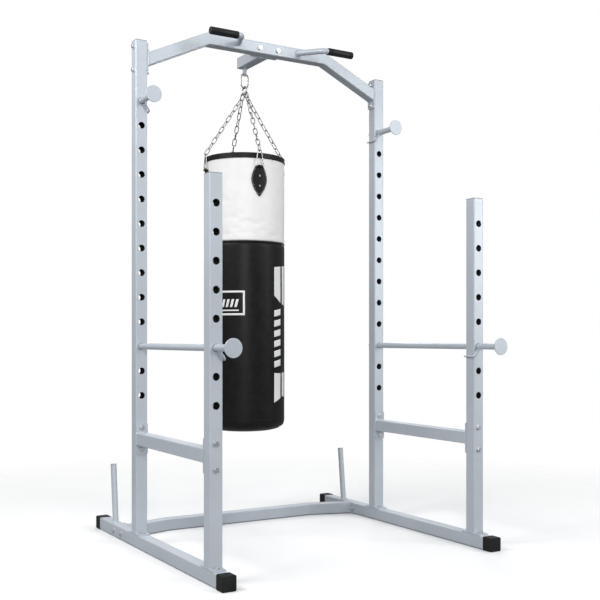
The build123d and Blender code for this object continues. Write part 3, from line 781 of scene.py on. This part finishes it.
def back_strip(skins, low_z, high_z):
    """Folded edge of the skin, lying along the upright seam."""
    half_width = SEAM_ROW * 1.7
    profile = [(-1.0, -1.2), (-0.86, 0.75), (-0.5, 1.0), (0.5, 1.0), (0.86, 0.75), (1.0, -1.2)]
    count = 80
    vertices = []
    for n in range(count + 1):
        z = low_z + (high_z - low_z) * n / count
        for across, stand in profile:
            angle = BACK_SEAM + across * half_width / BAG_R
            vertices.append(skins.point(angle, z, stand * 0.9 * MM))
    return vertices, capped_faces(count + 1, len(profile))


# ---- lid ----

LID_R = lid_high.x - BAG_X - 0.05 * MM
LID_PIPING_R = 1.5 * MM


def bag_lid():
    """Sewn lid: slack top, rolled rim and a puckered skirt."""
    top = lid_high.z
    low = lid_low.z + 0.2 * MM
    inside = BAG_R + 0.35 * MM
    rim = LID_R - 4 * MM
    section = [
        (0, top - 3.2 * MM), (rim * 0.25, top - 3.2 * MM), (rim * 0.5, top - 2.9 * MM),
        (rim * 0.7, top - 2.4 * MM), (rim * 0.85, top - 1.7 * MM), (rim * 0.94, top - 0.9 * MM),
        (rim, top - 0.2 * MM), (rim + 2.2 * MM, top - 0.4 * MM), (rim + 3.5 * MM, top - 1.6 * MM),
        (LID_R, top - 3.4 * MM), (LID_R - 0.1 * MM, top - 6 * MM), (LID_R - 0.1 * MM, low + 3 * MM),
        (LID_R, low + 0.8 * MM), (LID_R - 0.6 * MM, low), (inside, low + 0.4 * MM),
        (inside, top - 5.4 * MM), (rim * 0.85, top - 5.6 * MM), (rim * 0.4, top - 6 * MM),
        (0, top - 6 * MM),
    ]
    vertices, faces = revolved(section, COLUMNS)
    for ring, (radius, z) in enumerate(section[1:-1]):
        outer = 0.6 < radius / LID_R < 0.975 and z > top - 4 * MM
        for column, angle in enumerate(turns(COLUMNS)):
            index = 1 + ring * COLUMNS + column
            pucker = noise.noise(Vector((math.cos(angle) * 7, math.sin(angle) * 7, 4.0)))
            if outer:
                vertices[index].z += 0.9 * MM * (pucker - 0.4)
            elif radius > LID_R - 1 * MM:
                radius_now = radius - 0.25 * MM * abs(noise.noise(Vector((angle * 14, z * 200, 0))))
                vertices[index] = around(angle, radius_now, z)
    lid = piece("bag_lid", vertices, faces, BLACK, "bag", "black_vinyl")
    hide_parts("bag_top_cover")
    circle = [around(angle, rim, top - LID_PIPING_R) for angle in turns(COLUMNS)]
    piece("lid_piping", *swept(circle, LID_PIPING_R, 10, True, UP), LEATHER, "bag", "black_vinyl")


# ---- leather tabs ----

LOOP_R = 5.6 * MM               # leather rolled round the D-ring's foot bar
LOOP_BORE = 2.75 * MM
LOOP_HALF = 11.4 * MM
LOOP_EDGE = 1.2 * MM
D_STAND = 7 * MM                # from the bag's wall to the foot bar's middle
TAB_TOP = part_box("leather_tabs")[1].z - LOOP_R
TAB_DEPTH = TAB_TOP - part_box("leather_tabs")[0].z
TAB_HALF = 37 * MM              # half widths, where it is widest and at its top edge
TAB_TOP_HALF = 19.2 * MM
TAB_WIDEST = 0.42 * TAB_DEPTH
TAB_TAPER = 1.9                 # power of the curve from there to the tip
TAB_THICK = 3 * MM
TAB_EDGE = 2 * MM
TAB_INNER = BAG_R + 0.32 * MM
TAB_INSET = 4.6 * MM            # from the edge to the groove and its stitches


def tab_half_width(depth):
    """Half the tab's width at a depth below its top edge."""
    if depth < TAB_WIDEST:
        return TAB_TOP_HALF + (TAB_HALF - TAB_TOP_HALF) * math.sin(math.pi / 2 * depth / TAB_WIDEST)
    share = (depth - TAB_WIDEST) / (TAB_DEPTH - TAB_WIDEST)
    return TAB_HALF * max(0.0, 1 - share ** TAB_TAPER)


def on_tab(angle, across, depth, stand):
    return around(angle + across / (TAB_INNER + TAB_THICK), TAB_INNER + stand, TAB_TOP - depth)


def tab_shell(angle):
    """Closed leather patch with a rounded, slightly pressed edge."""
    rows, columns = 52, 18
    vertices = []
    for layer in (0, 1):
        for row in range(rows + 1):
            share = row / rows
            depth = TAB_DEPTH * (0.5 - 0.5 * math.cos(math.pi * share)) * 0.992
            wide = max(tab_half_width(depth), 1.2 * MM)
            end_drop = min(1.0, min(depth, TAB_DEPTH - depth) / TAB_EDGE)
            for column in range(columns + 1):
                share_across = math.sin(math.pi / 2 * (2 * column / columns - 1))
                across = wide * share_across
                edge = min(1.0, (wide - abs(across)) / TAB_EDGE)
                rounding = math.sqrt(max(0.0, 1 - (1 - min(edge, end_drop)) ** 2))
                stand = TAB_THICK * (0.45 + 0.55 * rounding)
                groove = math.exp(-(((wide - abs(across)) - TAB_INSET) / (1.1 * MM)) ** 2)
                stand -= 0.35 * MM * groove * (0 if depth < 4 * MM else 1)
                vertices.append(on_tab(angle, across, depth, stand if layer else 0.0))
    return vertices, slab_faces(rows, columns)


def tab_loop(angle):
    """Leather rolled round the D-ring's foot bar."""
    outward = out_at(angle)
    across = Vector((-outward.y, outward.x, 0))
    middle = around(angle, BAG_R + D_STAND, TAB_TOP)
    part_way = 0.3 * LOOP_EDGE
    half = [
        (LOOP_BORE, -LOOP_HALF), (LOOP_R - LOOP_EDGE, -LOOP_HALF),
        (LOOP_R - part_way, -LOOP_HALF + part_way), (LOOP_R, -LOOP_HALF + LOOP_EDGE),
    ]
    section = half + [(radius, -reach) for radius, reach in reversed(half)]
    sides = 40
    vertices = []
    for radius, reach in section:
        for turn in turns(sides):
            spin = outward * math.cos(turn) + UP * math.sin(turn)
            vertices.append(middle + across * reach + spin * radius)
    return vertices, ring_faces(len(section), sides, closed=True)


def tab_stitches(angle):
    """Stitch line inside the tab's edge."""
    line = []
    count = 60
    first, last = 6 * MM, TAB_DEPTH - 13 * MM
    for n in range(count + 1):
        depth = first + (last - first) * n / count
        line.append((tab_half_width(depth) - TAB_INSET, depth))
    mirrored = [(-across, depth) for across, depth in reversed(line)]
    outline = line + mirrored
    return stitches_along([
        (on_tab(angle, across, depth, TAB_THICK - 0.15 * MM), out_at(angle)) for across, depth in outline
    ])


def leather_tabs():
    for name, angle in zip(("front", "right", "left", "rear"), TAB_ANGLES):
        patch = joined([tab_shell(angle), tab_loop(angle)])
        tab = piece(f"{name}_leather_tab", *patch, LEATHER, "bag", "tab_leather")
        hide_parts("leather_tabs")
        piece(f"{name}_tab_stitching", *tab_stitches(angle), PALE_THREAD, "bag", "tab_leather")


# ---- prints ----

PRINT_STAND = 0.25 * MM
PRINT_SUNK = -0.4 * MM
PRINT_COLUMN = 3.5 * MM             # largest quads of a print, so that it follows the skin
PRINT_ROW = 5 * MM
PRINT_SLANT = 9 * MM
VIEW_SIDE = math.radians(-117.5)    # the bag's side that carries the framed print


def print_block(skins, corners):
    """Thin block that follows the skin; corners are (angle, z), in order round the block."""
    (a0, z0), (a1, z1), (a2, z2), (a3, z3) = corners
    wide = max(abs(a1 - a0), abs(a2 - a3)) * BAG_R
    tall = max(abs(z3 - z0), abs(z2 - z1))
    columns = max(1, math.ceil(wide / PRINT_COLUMN))
    rows = max(1, math.ceil(tall / PRINT_ROW))
    vertices = []
    for stand in (PRINT_SUNK, PRINT_STAND):
        for row in range(rows + 1):
            down = row / rows
            for column in range(columns + 1):
                right = column / columns
                angle = (a0 * (1 - right) + a1 * right) * (1 - down) + (a3 * (1 - right) + a2 * right) * down
                z = (z0 * (1 - right) + z1 * right) * (1 - down) + (z3 * (1 - right) + z2 * right) * down
                vertices.append(skins.point(angle, z, stand))
    return vertices, slab_faces(rows, columns, flip=True)


def seen(degrees):
    """Angle on the bag, in degrees to the right of the framed print's side."""
    return VIEW_SIDE + math.radians(degrees)


def print_piece(name, skins, outlines):
    """One piece from the outlines of its blocks."""
    blocks = [print_block(skins, outline) for outline in outlines]
    piece(name, *joined(blocks), INK, "bag", "white_vinyl")


def framed_print(skins):
    """White outline with plain slanted bars and a rule inside it."""
    left, right = seen(-68), seen(0.5)
    top, bottom = 1062 * MM, 953 * MM
    line = 9 * MM
    turn = line / BAG_R
    in_left, in_right, in_top, in_bottom = left + turn, right - turn, top - line, bottom + line
    outlines = [
        [(left, top), (right, top), (in_right, in_top), (in_left, in_top)],
        [(in_left, in_bottom), (in_right, in_bottom), (right, bottom), (left, bottom)],
        [(left, top), (in_left, in_top), (in_left, in_bottom), (left, bottom)],
        [(in_right, in_top), (right, top), (right, bottom), (in_right, in_bottom)],
    ]
    bars = 8
    bar_top, bar_bottom = top - 38 * MM, bottom + 36 * MM
    slant = PRINT_SLANT / BAG_R
    room = right - left - 6 * turn
    for n in range(bars):
        start = left + 3 * turn + room * n / bars
        end = start + room / bars * 0.55
        outlines.append([
            (start + slant, bar_top), (end + slant, bar_top), (end, bar_bottom), (start, bar_bottom),
        ])
    rule_left, rule_right = left + 4 * turn, right - 3 * turn
    rule_top, rule_bottom = bottom + 25 * MM, bottom + 19 * MM
    outlines.append([
        (rule_left, rule_top), (rule_right, rule_top), (rule_right, rule_bottom), (rule_left, rule_bottom),
    ])
    print_piece("framed_print", skins, outlines)


SIDE_COLUMN = (46.5, 62)        # degrees to the right of the framed print's side
SIDE_EDGE = (67, 77)
SIDE_BARS = (                   # column, then levels of the corners in mm, round from the upper left
    (SIDE_COLUMN, 1170, 1176, 1010, 1042),
    (SIDE_EDGE, 1178, 1180, 1000, 1006),
    (SIDE_COLUMN, 696, 694, 582, 563),
    (SIDE_EDGE, 696, 696, 584, 590),
)


def side_print(skins):
    """Upright column of bars and slanted blocks."""
    outlines = []
    for (left, right), *levels in SIDE_BARS:
        angles = seen(left), seen(right), seen(right), seen(left)
        outlines.append([(angle, level * MM) for angle, level in zip(angles, levels)])
    left, right = (seen(degrees) for degrees in SIDE_COLUMN)
    blocks = 6
    high, low = 985 * MM, 712 * MM
    pitch = (high - low) / blocks
    for n in range(blocks):
        top = high - n * pitch
        bottom = top - pitch * 0.62
        outlines.append([
            (left, top - PRINT_SLANT), (right, top), (right, bottom), (left, bottom - PRINT_SLANT),
        ])
    print_piece("side_print", skins, outlines)


# ---- grips ----

GRIP_WALL = 3.1 * MM
GRIP_EDGE = 3 * MM
GRIP_GROOVE = 0.55 * MM         # depth of a ring
GRIP_RINGS = 5
GRIP_PITCH = 3 * MM
GRIP_RUN = 15 * MM              # length of one group of rings


def handle_grips():
    """Grips with a rounded end and shallow rings cut near both ends."""
    for side, direction in SIDES.items():
        low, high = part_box(f"{side}_handle_grip")
        middle = (low + high) / 2
        length = high.x - low.x
        radius = (high.z - low.z) / 2
        bore = radius - GRIP_WALL
        end = GRIP_EDGE
        valley = radius - GRIP_GROOVE
        section = [(bore, 0), (radius - end * 0.6, 0), (radius - end * 0.15, end * 0.4), (radius, end)]
        reach = 8 * MM
        for group_start in (reach, length - reach - GRIP_RUN):
            for n in range(GRIP_RINGS):
                at = group_start + n * GRIP_PITCH
                section += [(radius, at), (valley, at + 0.7 * MM)]
                section += [(valley, at + 1.3 * MM), (radius, at + 2 * MM)]
        section += [
            (radius, length - end), (radius - end * 0.15, length - end * 0.4), (radius - end * 0.6, length),
            (radius * 0.5, length),
        ]
        inner_x = low.x if direction > 0 else high.x
        origin = Vector((inner_x, middle.y, middle.z))
        turned = lathe(section, origin, Vector((direction, 0, 0)), 64)
        grip = piece(f"{side}_grip", *turned, GRIP, "frame", "grip_rubber")
        bevel = grip.modifiers.new("soft_edges", "BEVEL")
        bevel.width = 0.3 * MM
        bevel.segments = 2
        bevel.angle_limit = math.radians(25)
        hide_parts(f"{side}_handle_grip")


# ---- weld beads ----

BEAD = 2.4 * MM             # radius of a bead
RIPPLE = 3.4 * MM           # length of one ripple along it


def rounded_loop(middle, first, second, half_first, half_second, corner=4 * MM, step=2 * MM):
    """Points round a rounded rectangle."""
    corners = [(1, 1, 0), (-1, 1, 90), (-1, -1, 180), (1, -1, 270)]
    rough = []
    for side_a, side_b, start in corners:
        for turn in (0, 30, 60, 90):
            angle = math.radians(start + turn)
            a = side_a * (half_first - corner) + corner * math.cos(angle)
            b = side_b * (half_second - corner) + corner * math.sin(angle)
            rough.append(middle + first * a + second * b)
    points = []
    for index, point in enumerate(rough):
        after = rough[(index + 1) % len(rough)]
        count = max(1, round((after - point).length / step))
        points += [point.lerp(after, n / count) for n in range(count)]
    return points


def bead(points, closed=True):
    """Rippled weld bead along points."""
    radii = []
    reach = 0.0
    for index, point in enumerate(points):
        reach += (point - points[index - 1]).length if index else 0.0
        uneven = noise.noise(point * 60)
        radii.append(BEAD * (0.86 + 0.10 * math.sin(2 * math.pi * reach / RIPPLE) + 0.16 * uneven))
    return swept(points, radii, 10, closed)


def circle_points(middle, axis, radius, count=48):
    across = axis.orthogonal().normalized()
    other = axis.cross(across).normalized()
    return [middle + (across * math.cos(turn) + other * math.sin(turn)) * radius for turn in turns(count)]


AXES = (Vector((1, 0, 0)), Vector((0, 1, 0)), Vector((0, 0, 1)))
PLATE = 5 * MM                  # thickness of flanges, foot plates and end discs
TUBE_HALF = 25 * MM
FLANGE_HALF = 62.5 * MM
PEG_WELD = 17.0 * MM            # radius at a storage peg's foot
ROD_WELD = 12.7 * MM            # radius round a safety bar or bar peg
HANDLE_ROOT_X = 150 * MM        # where the pull-up handles meet the bar
HANDLE_ROOT_Z = 2126 * MM
HANDLE_LEAN = 0.25
HANDLE_WELD = 13 * MM
LUG_HALF = 4.4 * MM             # half the thickness of the hanger arm's lug
LUG_RUN = 12 * MM               # half the length of the lug's two beads
LUG_STEP = 1.5 * MM
LUG_STEPS = 17


def frame_welds():
    """Beads where the frame's tubes, plates and pegs are joined."""
    along_x, along_y, along_z = AXES
    parts = []

    def round_tube(middle, first, second, half_first=TUBE_HALF, half_second=TUBE_HALF):
        parts.append(bead(rounded_loop(middle, first, second, half_first, half_second)))

    for side, direction in SIDES.items():
        rail_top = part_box(f"{side}_base_rail")[1].z
        for post in ("tall", "short"):
            low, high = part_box(f"{side}_{post}_upright")
            foot = Vector(((low.x + high.x) / 2, (low.y + high.y) / 2, rail_top + PLATE + BEAD * 0.3))
            round_tube(foot, along_x, along_y)
        low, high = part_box(f"{side}_side_brace")
        for y in (low.y + PLATE, high.y - PLATE):
            middle = Vector(((low.x + high.x) / 2, y, (low.z + high.z) / 2))
            round_tube(middle, along_x, along_z)
        low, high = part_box("rear_cross_member")
        end_x = high.x if direction > 0 else low.x
        middle = Vector((end_x - direction * PLATE, low.y + FLANGE_HALF, (low.z + high.z) / 2))
        round_tube(middle, along_y, along_z, half_first=TUBE_HALF * 1.045)      # the bow meets it askew
        low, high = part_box("pull_up_bar")
        end_x = high.x if direction > 0 else low.x
        middle = Vector((end_x - direction * PLATE, (low.y + high.y) / 2, low.z + FLANGE_HALF))
        round_tube(middle, along_y, along_z, half_second=TUBE_HALF * 1.1)
        low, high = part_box(f"{side}_plate_peg")
        foot = Vector(((low.x + high.x) / 2, low.y + PEG_WELD, low.z))
        parts.append(bead(circle_points(foot, along_z, PEG_WELD)))
        root = Vector((direction * HANDLE_ROOT_X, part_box("pull_up_bar")[0].y, HANDLE_ROOT_Z))
        lean = Vector((direction * HANDLE_LEAN, -1, 0)).normalized()
        parts.append(bead(circle_points(root, lean, HANDLE_WELD)))
    low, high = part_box("bag_hanger_arm")
    middle = Vector(((low.x + high.x) / 2, low.y + PLATE, high.z - TUBE_HALF))
    round_tube(middle, along_x, along_z)
    for edge in (-1, 1):
        start = Vector((edge * LUG_HALF, BAG_Y - LUG_RUN, high.z - 2 * TUBE_HALF))
        run = [start + along_y * LUG_STEP * n for n in range(LUG_STEPS)]
        parts.append(bead(run, closed=False))
    piece("frame_welds", *joined(parts), PAINT, "frame", "frame_paint")


def rod_welds():
    """Beads between each rod and its end disc."""
    for side in SIDES:
        for kind, body in (("safety_bar", "safety"), ("bar_peg", "peg")):
            low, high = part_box(f"{side}_{kind}")
            middle = Vector(((low.x + high.x) / 2, low.y + PLATE, (low.z + high.z) / 2))
            ring = bead(circle_points(middle, AXES[1], ROD_WELD))
            piece(f"{side}_{kind}_weld", *ring, PAINT, f"{side}_{body}", "frame_paint")


# ---- floor and light ----

FLOOR_HALF = 30.0
WORLD_TINT = (0.97, 0.985, 1.0, 1)
WORLD_RISE = (-0.15, 0.45, 0.16, 0.60)     # from and to what height of sky, and its strength there
AIM_HEIGHT = 1.0
LAMPS = (       # name, azimuth in degrees, distance, height, (width, height) of the panel, watts
    ("key", -62, 4.6, 3.5, (1.5, 2.0), 46),
    ("right", -48, 5.4, 1.9, (0.8, 1.8), 56),
    ("strip", -119, 4.9, 2.2, (0.5, 2.2), 66),
    ("side", 186, 2.5, 2.7, (1.6, 1.4), 54),
    ("rear", 60, 4.5, 3.2, (2.5, 1.8), 50),
)


def make_floor():
    mesh = bpy.data.meshes.new("floor")
    corners = [(x * FLOOR_HALF, y * FLOOR_HALF, 0) for x, y in ((-1, -1), (1, -1), (1, 1), (-1, 1))]
    mesh.from_pydata(corners, [], [(0, 1, 2, 3)])
    floor = bpy.data.objects.new("floor", mesh)
    floor.data.materials.append(pale_floor())
    scene.collection.objects.link(floor)


def make_surround():
    """White to the camera; its light on the object grows from the horizon upwards."""
    world = bpy.data.worlds.new("surround")
    world.use_nodes = True
    tree = Tree(world.node_tree)
    seen_white = tree.tree.nodes["Background"]
    seen_white.inputs["Color"].default_value = (1, 1, 1, 1)
    seen_white.inputs["Strength"].default_value = 1.0
    soft_light = tree.add("ShaderNodeBackground")
    soft_light.inputs["Color"].default_value = WORLD_TINT
    split = tree.add("ShaderNodeSeparateXYZ")
    tree.link(tree.add("ShaderNodeTexCoord").outputs["Generated"], split.inputs["Vector"])
    start, end, low, high = WORLD_RISE
    tree.link(tree.range(split.outputs["Z"], low, high, start, end), soft_light.inputs["Strength"])
    blend = tree.add("ShaderNodeMixShader")
    tree.link(tree.add("ShaderNodeLightPath").outputs["Is Camera Ray"], blend.inputs["Fac"])
    tree.link(soft_light.outputs["Background"], blend.inputs[1])
    tree.link(seen_white.outputs["Background"], blend.inputs[2])
    tree.link(blend.outputs["Shader"], tree.tree.nodes["World Output"].inputs["Surface"])
    scene.world = world


def make_lamps():
    """Wide soft lamps round the object, all aimed at its middle."""
    middle = (cad_box[0] + cad_box[1]) / 2
    for name, azimuth, distance, height, (wide, tall), power in LAMPS:
        data = bpy.data.lights.new(name, "AREA")
        data.shape = "RECTANGLE"
        data.size = wide
        data.size_y = tall
        data.energy = power
        lamp = bpy.data.objects.new(name, data)
        scene.collection.objects.link(lamp)
        turn = math.radians(azimuth)
        reach_x, reach_y = distance * math.cos(turn), distance * math.sin(turn)
        lamp.location = Vector((middle.x + reach_x, middle.y + reach_y, height))
        aim = Vector((middle.x, middle.y, AIM_HEIGHT)) - lamp.location
        lamp.rotation_euler = aim.to_track_quat("-Z", "Y").to_euler()


make_camera()
finish_cad_nodes()
skins = Skins([lower_skin(), upper_skin()])
bag_seams(skins)
bag_lid()
leather_tabs()
framed_print(skins)
side_print(skins)
handle_grips()
frame_welds()
rod_welds()
make_floor()
make_surround()
make_lamps()
